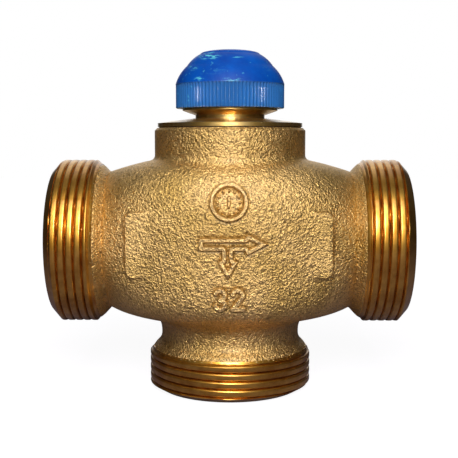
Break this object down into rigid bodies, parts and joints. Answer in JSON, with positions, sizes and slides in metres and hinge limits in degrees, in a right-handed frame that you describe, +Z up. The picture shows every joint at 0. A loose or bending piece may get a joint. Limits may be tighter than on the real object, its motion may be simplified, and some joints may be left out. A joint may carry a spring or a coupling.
{
  "type": "three-way distribution valve",
  "caption": "Three-way brass distribution valve with male-threaded ports, a sprung double-disc stem and a blue knurled setting cap on the head thread.",
  "frame": {"origin": "centre of the branch port's sealing face, on which the valve stands", "axes": "+Z up the stem axis towards the cap, +X along the run from the inlet to the straight outlet, -Y the face with the flow mark"},
  "size_m": [0.103, 0.0562, 0.0994],
  "materials": {
    "cast_brass": "cast and tumbled, grainy, with machined threads and faces",
    "turned_brass": "turned",
    "blue_plastic": "moulded, satin, scuffed",
    "stainless": "ground",
    "spring_steel": "drawn wire",
    "black_rubber": "moulded",
    "fibre_gasket": "pressed fibre",
    "white_plastic": "turned"
  },
  "bodies": {
    "valve": {"valve_body": "cast_brass", "bonnet": "turned_brass", "bonnet_gasket": "fibre_gasket", "gland_nut": "turned_brass", "gland_o_rings": "black_rubber", "gland_outer_ring": "black_rubber", "spring_seat_plate": "turned_brass", "plate_clip": "spring_steel", "guide_bush": "white_plastic", "return_spring": "spring_steel"},
    "stem_set": {"actuator_pin": "stainless", "stem": "stainless", "spring_collar": "turned_brass", "collar_clip": "spring_steel", "upper_disc_carrier": "turned_brass", "upper_disc_seal": "black_rubber", "upper_disc_washer": "turned_brass", "spacer_sleeve": "turned_brass", "lower_disc_washer": "turned_brass", "lower_disc_seal": "black_rubber", "lower_disc_carrier": "turned_brass", "lock_nut": "turned_brass"},
    "cap": {"protective_cap": "blue_plastic"}
  },
  "joints": [
    {"name": "stem_travel", "type": "slide", "parent": "valve", "child": "stem_set", "axis": [0, 0, 1], "range_m": [-0.003, 0], "stiffness_N_per_m": 3000, "springref_m": 0.003, "deforming": ["return_spring"]},
    {"name": "cap_turn", "type": "hinge", "parent": "stem_set", "child": "cap", "pos_m": [0, 0, 0.085], "axis": [0, 0, 1], "range_deg": [-720, 0]}
  ],
  "couplings": [
    {"joint": "cap_turn", "follows": "stem_travel", "rad_per_m": 4188.8}
  ]
}
